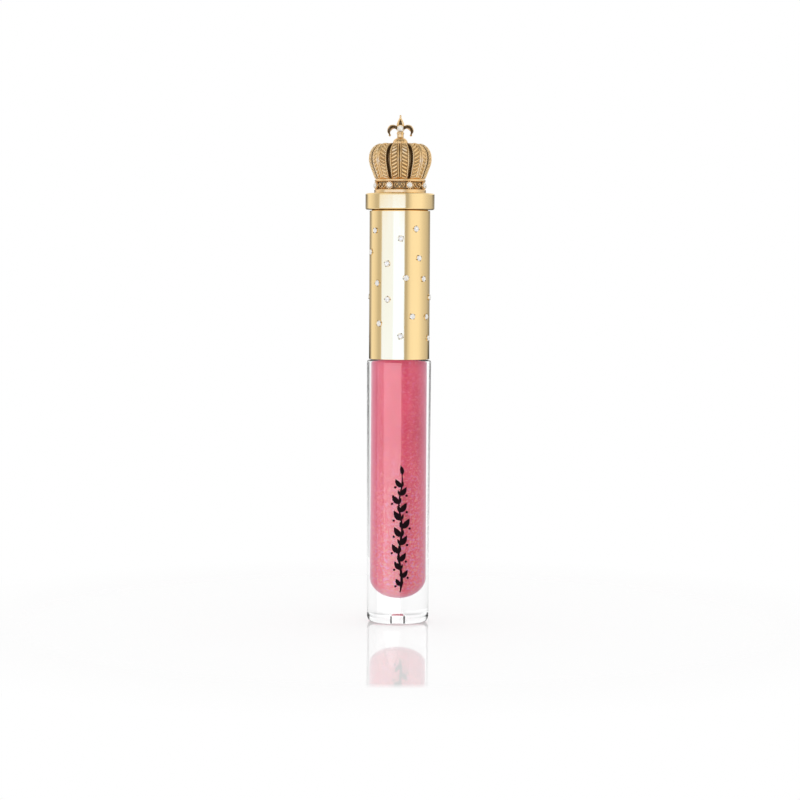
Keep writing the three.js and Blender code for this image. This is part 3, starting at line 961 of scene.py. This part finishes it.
def circlet():
    """The crown's foot and the sunk band that carries the crystals, under a rounded rim."""
    rim = [(6.0 + 0.36 * cos(a), RIM_Z + 0.38 * sin(a)) for a in np.linspace(-1.3, 1.9, 11)]
    outline = [
        (CROWN_CAVITY_R, COLLAR_TOP), (FOOT_R, COLLAR_TOP), (FOOT_R, BAND_FOOT - 0.15),
        (BAND_R, BAND_FOOT), (BAND_R, BAND_TOP),
    ]
    profile = soften(outline, 0.14)
    profile = np.array([*profile, *rim, (CROWN_CAVITY_R, RIM_Z + 0.36), (CROWN_CAVITY_R, COLLAR_TOP)])
    points, faces = revolve(profile, 160)
    points = np.asarray(points)
    radius = np.hypot(points[:, 0], points[:, 1])
    in_band = plateau(points[:, 2], BAND_FOOT - 0.03, BAND_TOP + 0.05, 0.06)
    patina_and_painted_shade = np.where(radius < BAND_R + 0.03, in_band * BAND_PATINA, 0.0)
    piece("crown_circlet", (points, faces), "crown_body", "antique_gold", GILT, hides=False, patina_and_painted_shade=patina_and_painted_shade)


# Half of the motif under an arch: across from its middle, and height over the circlet's middle.
SCROLL = [
    (0.12, -0.72), (0.55, -0.62), (1.0, -0.30), (1.22, 0.12),
    (1.0, 0.46), (0.62, 0.44), (0.48, 0.16), (0.70, 0.02),
]
LEAFLET = [(0.0, -0.74), (0.10, -0.35), (0.26, -0.02)]
SCROLL_EYE = (0.70, 0.08)
BEZEL_SINK = 0.38


def on_band(x, z, lift):
    """The point at x round the circlet's band, z over its middle and lift above its face."""
    angle = x / BAND_R
    radius = BAND_R + lift
    return [radius * sin(angle), -radius * cos(angle), CIRCLET_Z + z]


def band_rod(line, half_width, lift=0.10):
    """A round wire along a line of (x, z) on the circlet's band, tapered at both ends."""
    line = curve(line)
    path = np.array([on_band(x, z, lift) for x, z in line])
    out = path * [1, 1, 0]
    out /= norm(out, axis=1)[:, None]
    taper = np.sin(np.linspace(0.12, pi - 0.12, len(path))) ** 0.4
    return sweep(path, out, half_width * taper, 0.2 * taper, 8)


def scrollwork():
    """Under each arch a pair of scrolls, and round each crystal a ring of beads."""
    shapes = []
    for i in range(ARCHES):
        motif = []
        for side in (-1, 1):
            motif.append(band_rod([(side * x, z) for x, z in SCROLL], 0.15))
            motif.append(band_rod([(side * x, z) for x, z in LEAFLET], 0.12))
            motif.append(ball(on_band(side * SCROLL_EYE[0], SCROLL_EYE[1], 0.16), 0.19, 8))
        points, faces = gather(motif)
        shapes.append((turned_about_z(points, CROWN_TURN + i * TAU / ARCHES), faces))
    for i in range(ARCHES):
        centre, out = seat(f"crown_crystal_{i + 1}")
        shapes.append(placed(bezel(0.74, 0.34, 12, 0.15), centre - out * BEZEL_SINK, out))
    trim("crown_scrolls", gather(shapes), "crown_body", 0.0)


def trim(name, shape, node_name, depth):
    """Small cast parts as one piece, with one share of the dark patina colour all over, on a CAD node's body;
    on the stone claws that share is painted shade.
    """
    patina_and_painted_shade = np.full(len(shape[0]), depth)
    piece(name, shape, node_name, "antique_gold", GILT, hides=False, patina_and_painted_shade=patina_and_painted_shade, outwards=True)


def bead_ring(count, ring_r, z, bead_r):
    """Beads evenly round the Z axis, the first of them half a step from +X."""
    angles = (np.arange(count) + 0.5) * TAU / count
    return [ball((ring_r * cos(a), ring_r * sin(a), z), bead_r, 8) for a in angles]


def bezel(radius, height, beads, bead_r):
    """A cup for a stone, facing +Z, with a ring of beads round its mouth."""
    wall = [(radius + 0.16, 0), (radius + 0.1, height), (radius - 0.04, height), (radius - 0.1, height * 0.5)]
    cup = revolve(soften([(0, 0), *wall, (0, height * 0.5)], 0.05), 20)
    return gather([cup, *bead_ring(beads, radius + 0.17, height * 0.8, bead_r)])


# ---------- fleur finial ----------

HUB_FOOT = 119.45
HEART_Z = 123.2
HEART_R = 0.98
FLEUR_Y = 0.62  # half the thickness of the heart

# The petals' middle lines, as distance aside and height, then their half widths and half depths on the way.
SIDE_PETAL = [
    (0.55, 122.7), (0.95, 123.35), (1.6, 123.66), (2.3, 123.5), (2.74, 122.95), (2.88, 122.4), (2.68, 121.85),
]
SIDE_WIDTHS = [0.26, 0.36, 0.50, 0.60, 0.55, 0.38, 0.2]
SIDE_DEPTHS = [0.45, 0.5, 0.44, 0.3]
TOP_PETAL = [(0.45, 123.5), (0.62, 124.1), (0.48, 124.8), (0.2, 125.5), (0.04, 126.05)]
TOP_WIDTHS = [0.34, 0.32, 0.26, 0.2, 0.14]
TOP_DEPTHS = [0.42, 0.4, 0.22]
WEB = [(0, 123.6), (0, 124.4), (0, 125.3)]
WEB_WIDTHS = [0.34, 0.30, 0.12]
WEB_DEPTHS = [0.14, 0.14, 0.14]


def flat_rod(line, half_width, half_depth):
    """A rod in the plane of the fleur, through (x, z) points."""
    line = curve(line)
    path = np.stack([line[:, 0], np.zeros(len(line)), line[:, 1]], 1)
    share = np.linspace(0, 1, len(path))
    width = np.interp(share, np.linspace(0, 1, len(half_width)), half_width)
    depth = np.interp(share, np.linspace(0, 1, len(half_depth)), half_depth)
    return sweep(path, (0.0, 1.0, 0.0), width, depth, 14)


def finial_shapes():
    """The hub, the petals, the heart between them and the beads at their tips."""
    outline = [
        (0, HUB_FOOT - 2.3), (0.7, HUB_FOOT - 2.3), (0.7, HUB_FOOT), (1.85, HUB_FOOT),
        (1.85, HUB_FOOT + 0.45), (1.5, HUB_FOOT + 1.05), (1.0, HUB_FOOT + 1.38),
        (0.80, HUB_FOOT + 1.52), (0.80, 121.75), (0.92, 121.95), (0.92, 122.2), (0.6, 122.5),
        (0, 122.6),
    ]
    hub = soften(outline, 0.12)

    def lobed(angles, r, z):
        on_mound = r > 1.2 and z > HUB_FOOT + 0.1
        return r * (1 + 0.07 * on_mound * (np.abs(np.cos(angles * ARCHES / 2)) ** 0.5 - 1))

    shapes = [revolve(hub, 96, lobed)]
    for side in (-1, 1):
        shapes.append(flat_rod([(side * x, z) for x, z in SIDE_PETAL], SIDE_WIDTHS, SIDE_DEPTHS))
        shapes.append(flat_rod([(side * x, z) for x, z in TOP_PETAL], TOP_WIDTHS, TOP_DEPTHS))
        shapes.append(ball((side * 2.64, 0, 121.55), 0.31, 14))
    shapes.append(ball((0, 0, 126.3), 0.28, 14))
    shapes.append(flat_rod(WEB, WEB_WIDTHS, WEB_DEPTHS))
    heart = revolve(soften([(0, -FLEUR_Y), (HEART_R, -FLEUR_Y), (HEART_R, FLEUR_Y), (0, FLEUR_Y)], 0.15), 32)
    shapes.append(placed(heart, (0, 0, HEART_Z), (0, -1)))
    return shapes


GROOVE_DEPTH = 0.16
GROOVE_HALF = 0.36
FUSE_VOXEL = 0.06
EASE_ROUNDS = 4
HOLLOW_ROUNDS = 14
HOLLOW_DEPTH = 0.05  # how far under its smoothed self the casting is fully in patina


def petal_groove(points):
    """How far into the grooves cut along the side petals each point lies, 0 to 1."""
    path = curve(SIDE_PETAL[1:])
    aside = np.stack([np.abs(points[:, 0]), points[:, 2]], 1)
    gap = norm(aside[:, None] - path, axis=2).min(1)
    on_face = smoothstep(0.12, 0.26, np.abs(points[:, 1]))
    return on_face * (1 - smoothstep(0.6 * GROOVE_HALF, 1.25 * GROOVE_HALF, gap))


def petal_web(points):
    """1 on the sunk web between the two halves of the top petal."""
    x, y, z = np.abs(points).T
    return (x < 0.3) * (y < 0.2) * plateau(z, 124.0, 125.3, 0.1)


def finial():
    """The fleur and its hub, fused as one casting."""
    made = mesh_object("crown_fleur", gather(finial_shapes()))
    fused = made.modifiers.new("fuse", "REMESH")
    fused.mode = "VOXEL"
    fused.voxel_size = FUSE_VOXEL * MM
    eased = made.modifiers.new("ease", "SMOOTH")
    eased.iterations = EASE_ROUNDS
    apply_modifiers(made)
    mesh = made.data
    at = vectors(mesh, "co") / MM
    groove = petal_groove(at)
    sunk = np.maximum(groove, petal_web(at))
    at[:, 1] -= np.sign(at[:, 1]) * GROOVE_DEPTH * groove
    mesh.vertices.foreach_set("co", (turned_about_z(at, CROWN_TURN) * MM).ravel())
    mesh.update()
    mark_patina_and_painted_shade(mesh, np.maximum(hollows(mesh, HOLLOW_ROUNDS, HOLLOW_DEPTH), sunk))
    mesh.shade_smooth()
    mesh.materials.append(GILT)
    settle(made, "crown_finial")


def vectors(mesh, name):
    """A mesh's points or normals, one row for each vertex."""
    values = np.empty(len(mesh.vertices) * 3)
    mesh.vertices.foreach_get(name, values)
    return values.reshape(-1, 3)


def apply_modifiers(made):
    """Keeps the mesh that an object's modifiers make, and drops the modifiers."""
    settled = bpy.context.evaluated_depsgraph_get()
    mesh = bpy.data.meshes.new_from_object(made.evaluated_get(settled))
    made.modifiers.clear()
    made.data = mesh


def hollows(mesh, rounds, full_depth):
    """How far each point lies under a smoothed copy of the surface, as a share of full_depth in mm."""
    count = len(mesh.vertices)
    at = vectors(mesh, "co")
    ends = np.empty(len(mesh.edges) * 2, int)
    mesh.edges.foreach_get("vertices", ends)
    a, b = ends.reshape(-1, 2).T
    links = np.bincount(a, minlength=count) + np.bincount(b, minlength=count)
    smooth = at.copy()
    for _ in range(rounds):
        total = np.zeros_like(smooth)
        np.add.at(total, a, smooth[b])
        np.add.at(total, b, smooth[a])
        smooth = total / np.maximum(links, 1)[:, None]
    depth = ((smooth - at) * vectors(mesh, "normal")).sum(1) / MM
    return np.clip(depth / full_depth, 0, 1)


# ---------- stones ----------


def brilliant(radius, height):
    """A cut stone on its back: table, star and kite facets, girdle, and a shallow pointed back."""

    def ring(count, first, r, z):
        angles = (np.arange(count) + first) * TAU / count
        return [(r * cos(a), r * sin(a), z) for a in angles]

    table = ring(8, 0, 0.5 * radius, height)
    kites = ring(8, 0.5, 0.8 * radius, 0.66 * height)
    girdle = ring(16, 0, radius, 0.28 * height)
    foot = ring(16, 0, radius, 0.14 * height)
    points = [*table, *kites, *girdle, *foot, (0, 0, 0)]
    k, g, f, back = 8, 16, 32, 48  # where the kites, girdle, foot and back start among the points
    faces = [tuple(range(8))]
    for i in range(8):
        j = (i + 1) % 8
        left, mid, right = g + 2 * i, g + 2 * i + 1, g + (2 * i + 2) % 16
        faces += [(i, k + i, j), (j, k + i, right, k + j), (k + i, left, mid), (k + i, mid, right)]
    for i in range(16):
        j = (i + 1) % 16
        faces.append((g + i, f + i, f + j, g + j))
    backs = [(f + (i + 1) % 16, f + i, back) for i in range(16)]
    return points, faces + backs


def stone(name, node_name, radius, height, lift, turn, slot, look):
    """A cut stone in the place of a CAD one, lift above its seat, with foil on its back."""
    centre, out = seat(node_name)
    shape = placed(brilliant(radius, height), centre + out * lift, out, turn)
    made = piece(name, shape, node_name, slot, look, FOIL, sharp=5, outwards=True)
    for polygon in made.data.polygons:
        flat_back = min((made.data.vertices[v].co / MM).dot(Vector(out)) for v in polygon.vertices)
        polygon.material_index = int(flat_back < centre @ out + lift + 0.02)


CUP_SINK = 0.08
# Painted shade: the stone claws are coloured almost wholly in the dark patina brown.
CLAW_PAINTED_SHADE = 0.9


def rhinestones():
    """The scattered stones, each turned its own way in a low round cup with four claws."""
    look = crystal("rhinestone_glass", rgb(1.0, 0.98, 0.93))
    cup = soften([(0, 0), (0.80, 0), (0.79, 0.17), (0.70, 0.17), (0.68, 0.06), (0, 0.06)], 0.03, 0.02, 2)
    names = sorted(n for n in frame["nodes"] if n.startswith("stone_"))
    cups, claws = [], []
    for i, node_name in enumerate(names):
        turn = i * 0.7
        stone("rhine" + node_name, node_name, 0.72, 0.40, 0.0, turn, "rhinestone", look)
        centre, out = seat(node_name)
        sunk = centre - out * CUP_SINK
        cups.append(placed(revolve(cup, 20), sunk, out, turn))
        claws.append(placed(gather(bead_ring(4, 0.74, 0.21, 0.13)), sunk, out, turn))
    gold = bpy.data.materials["gold_plate"]
    piece("stone_cups", gather(cups), "cap_sleeve", "gold_sleeve", gold, hides=False, outwards=True)
    trim("stone_claws", gather(claws), "cap_sleeve", CLAW_PAINTED_SHADE)


def crown_crystals():
    """The crystals round the circlet, and those at the heart of the fleur."""
    look = crystal("crown_crystal_glass", rgb(1.0, 0.97, 0.90))
    for i in range(ARCHES):
        node_name = f"crown_crystal_{i + 1}"
        stone(f"circlet_gem_{i + 1}", node_name, 0.70, 0.50, -0.02, i * 0.9, "crown_crystal", look)
    for side in ("front", "back"):
        stone(f"fleur_gem_{side}", f"finial_crystal_{side}", 0.76, 0.44, -0.06, 0.4, "crown_crystal", look)


# ---------- studio ----------

# Levels that glossy rays meet, by azimuth in degrees round from the front towards +X.
ROOM = [
    (-180, 0.42), (-155, 0.45), (-148, 0.50), (-136, 0.78), (-127, 1.02), (-112, 0.96), (-99, 0.82),
    (-88, 0.64), (-76, 0.62), (-70, 1.0), (17, 1.0), (20, 0.55), (27, 0.57), (33, 0.80), (43, 1.05),
    (60, 1.10), (78, 1.08), (99, 0.85), (127, 0.64), (148, 0.46), (180, 0.42),
]
# Levels far behind, which only grazing rays meet, by elevation in degrees. They draw the tube's outline.
FAR = [
    (-90, 0.12), (-9.5, 0.12), (-7.6, 0.80), (-6.8, 0.80), (-2.6, 0.03), (-2.1, 0.03), (-1.2, 0.42),
    (1.85, 0.42), (2.0, 0.12), (4.0, 0.12), (6.5, 1.0), (90, 1.0),
]
# Levels that rays inside the clear plastic meet on their way out, by azimuth. They light the gloss too.
THROUGH = [
    (-180, 1.0), (-121, 1.0), (-115, 0.03), (-84, 0.03), (-78, 2.7), (-50, 2.6), (-25, 2.0), (14, 1.9),
    (20, 0.38), (44, 0.38), (56, 2.2), (64, 3.0), (76, 3.0), (80, 0.10), (118, 0.06), (124, 1.0), (180, 1.0),
]
BRIGHTEST = 3.0  # the highest level a table may hold, because a colour ramp ends at 1

# Levels by elevation, and the elevations in degrees between which each comes in.
BACKDROP, BACKDROP_RISE = 1.0, (3.5, 6.5)
CEILING_FRONT, CEILING_BACK, CEILING_RISE = 0.05, 0.80, (32, 50)
STEEP, STEEP_RISE = 0.86, (22, 38)
UNDER, UNDER_RISE = 0.75, (-2.5, -6.8)
SLANTED, SLANTED_RISE = 0.9, (11, 20)

# How far a level direction points towards +Y, away from the front, as each of these comes in.
BACKDROP_WAY = (0.2, 0.6)
FAR_WAY = (0.70, 0.85)
CEILING_WAY = (-0.7, 0.1)
SLANTED_WAY = (-0.3, -0.1)


def levels(tree, angle, table):
    """A grey level looked up in a table by an angle, which is given in radians."""
    first, last = table[0][0], table[-1][0]
    share = between(tree, angle, 0.0, 1.0, radians(first), radians(last))
    ramp = node(tree, "ValToRGB", {"Fac": share})
    stops = ramp.color_ramp.elements
    while len(stops) < len(table):
        stops.new(0.5)
    for stop, (degrees, _) in zip(stops, table):
        stop.position = (degrees - first) / (last - first)
    for stop, (_, level) in zip(stops, table):
        stop.color = rgb(*[level / BRIGHTEST] * 3)
    return times(tree, ramp.outputs["Color"], BRIGHTEST)


def rise(tree, sine, span):
    """0 to 1 as an elevation, given by its sine, crosses a span in degrees."""
    return between(tree, sine, 0.0, 1.0, *[sin(radians(degrees)) for degrees in span])


def room_level(tree, way, azimuth):
    """What a glossy ray meets: the room, then the backdrop, the far band and the ceiling over it."""
    behind = between(tree, way["Y"], 0.0, 1.0, *BACKDROP_WAY)
    room = levels(tree, azimuth, ROOM)
    room = blended(tree, times(tree, behind, rise(tree, way["Z"], BACKDROP_RISE)), room, BACKDROP)
    far = levels(tree, maths(tree, "ARCSINE", way["Z"]), FAR)
    room = blended(tree, between(tree, way["Y"], 0.0, 1.0, *FAR_WAY), room, far)
    ceiling = between(tree, way["Y"], CEILING_FRONT, CEILING_BACK, *CEILING_WAY)
    return blended(tree, rise(tree, way["Z"], CEILING_RISE), room, ceiling)


def through_level(tree, way, azimuth):
    """What a ray through the clear plastic meets. Steep ways all meet the same soft grey, so that the
    plastic's shoulder and base stay clear from above."""
    steepness = maths(tree, "ABSOLUTE", way["Z"])
    under = times(tree, rise(tree, way["Z"], UNDER_RISE), UNDER)
    slanted_way = rise(tree, steepness, SLANTED_RISE)
    behind = between(tree, way["Y"], 0.0, SLANTED, *SLANTED_WAY)
    level = maths(tree, "MAXIMUM", levels(tree, azimuth, THROUGH), under)
    level = maths(tree, "MAXIMUM", level, times(tree, slanted_way, behind))
    return blended(tree, rise(tree, steepness, STEEP_RISE), level, STEEP)


def world():
    """White to the camera and matt surfaces, with levels of their own for reflections and clear plastic."""
    made = bpy.data.worlds.new("studio")
    SCENE.world = made
    made.use_nodes = True
    tree = made.node_tree
    background = tree.nodes["Background"].inputs
    background["Color"].default_value = rgb(1, 1, 1)
    direction = node(tree, "TexCoord").outputs["Generated"]
    way = node(tree, "SeparateXYZ", {0: direction}).outputs
    azimuth = maths(tree, "ARCTAN2", way["X"], times(tree, way["Y"], -1.0))
    path = node(tree, "LightPath").outputs
    seen = blended(tree, path["Is Glossy Ray"], 1.0, room_level(tree, way, azimuth))
    seen = blended(tree, path["Is Transmission Ray"], seen, through_level(tree, way, azimuth))
    feed(tree, background["Strength"], seen)


CLEAR_PIECES = ("glass_bottle", "gloss_column", "vine_print")
PANEL_DISTANCE = 0.8  # metres, as are the next two heights
PANEL_FOOT = -0.16
PANEL_TOP = 0.135


def panel(name, left, right, radiance, lit):
    """A flat softbox between two azimuths in degrees, which shows only in the lit pieces' reflections.
    radiance is its red, green and blue, which add to the room's own level."""
    middle = radians((left + right) / 2)
    half = radians((right - left) / 2)
    light = bpy.data.lights.new(name, "AREA")
    light.shape = "RECTANGLE"
    light.size = 2 * PANEL_DISTANCE * tan(half)
    light.size_y = PANEL_TOP - PANEL_FOOT
    brightest = max(radiance)
    light.color = [c / brightest for c in radiance]
    light.energy = brightest * pi * light.size * light.size_y
    made = bpy.data.objects.new(name, light)
    across, back = PANEL_DISTANCE * sin(middle), -PANEL_DISTANCE * cos(middle)
    made.location = (across, back, (PANEL_TOP + PANEL_FOOT) / 2)
    made.rotation_euler = Euler((pi / 2, 0, middle))
    SCENE.collection.objects.link(made)
    made.visible_camera = False
    made.visible_diffuse = False
    made.visible_transmission = False
    made.light_linking.receiver_collection = lit


def group(name, pieces):
    """A collection outside the scene, only for light linking."""
    made = bpy.data.collections.new(name)
    for one in pieces:
        made.objects.link(one)
    return made


def softboxes():
    """Cool panels, which the gold turns to cream, and white ones that show in the bottle."""
    pieces = [o for o in SCENE.objects if o.type == "MESH" and o.name not in frame["nodes"]]
    clear = group("clear_pieces", [o for o in pieces if o.name in CLEAR_PIECES])
    gilt = group("gilt_pieces", [o for o in pieces if o.name not in CLEAR_PIECES])
    panel("cap_key", -72, 18, (0.02, 0.36, 1.40), gilt)
    panel("cap_core", -24, 18, (0.06, 0.19, 0.62), gilt)
    panel("bottle_key", -84, -52, (1.6, 1.6, 1.6), clear)
    panel("bottle_core", -54, 9, (3.6, 3.6, 3.6), clear)


FLOOR_R = 0.14  # metres, as are the next three
FLOOR_DROP = 0.0001
MIRROR_R = 0.092
MIRROR_EDGE = 0.006
MIRROR = 0.33
GLOW = 0.45  # share of the matt floor's white that is its own light


def floor():
    """A white floor that mirrors the tube's foot and then melts into the background."""
    made = mesh_object("floor", revolve([(r / MM, -FLOOR_DROP / MM) for r in np.linspace(FLOOR_R, 0, 12)]))
    made.data.materials.append(floor_gloss())
    made.visible_glossy = False


def floor_gloss():
    """Matt white with a faint mirror in its middle, and pure white at its rim."""
    made = bpy.data.materials.new("white_gloss_floor")
    made.use_nodes = True
    tree = made.node_tree
    tree.nodes.remove(tree.nodes["Principled BSDF"])
    place = node(tree, "TexCoord").outputs["Object"]
    radius = node(tree, "VectorMath", {0: place}, operation="LENGTH").outputs["Value"]
    mirror = between(tree, radius, MIRROR, 0.0, MIRROR_R, MIRROR_R + MIRROR_EDGE)
    melt = between(tree, radius, 0.0, 1.0, MIRROR_R, FLOOR_R - 0.005)
    white = node(tree, "Emission", {"Color": rgb(1, 1, 1), "Strength": 1.0}).outputs[0]
    paint = node(tree, "BsdfDiffuse", {"Color": rgb(0.97, 0.97, 0.97)}).outputs[0]
    matt = node(tree, "MixShader", {0: GLOW, 1: paint, 2: white}).outputs[0]
    matt = node(tree, "MixShader", {0: melt, 1: matt, 2: white}).outputs[0]
    shine = node(tree, "BsdfGlossy", {"Color": rgb(1, 1, 1), "Roughness": 0.03}).outputs[0]
    both = node(tree, "MixShader", {0: mirror, 1: matt, 2: shine}).outputs[0]
    feed(tree, tree.nodes["Material Output"].inputs["Surface"], both)
    return made


CAMERA_AT = (0.0001, -0.600, 0.08775)
LOOKING_DOWN = 3.07  # degrees
ROLL = -0.34
FOCAL_LENGTH = 108  # on a sensor 36 mm wide


def camera():
    """A long lens a little above the middle of the tube, looking slightly down."""
    lens = bpy.data.cameras.new("camera")
    lens.sensor_width = 36
    lens.lens = FOCAL_LENGTH
    made = bpy.data.objects.new("camera", lens)
    made.location = CAMERA_AT
    made.rotation_euler = Euler((radians(90 - LOOKING_DOWN), radians(ROLL), 0), "XYZ")
    SCENE.collection.objects.link(made)
    SCENE.camera = made
    SCENE.view_settings.view_transform = "Standard"


# ---------- everything ----------

GILT = antique_gold()
FOIL = silver_foil()

bottle()
gloss()
wiper()
vine()
rod()
applicator()
inner_cap()
sleeve()
collar()
crown_dome()
circlet()
scrollwork()
finial()
rhinestones()
crown_crystals()
world()
softboxes()
floor()
camera()
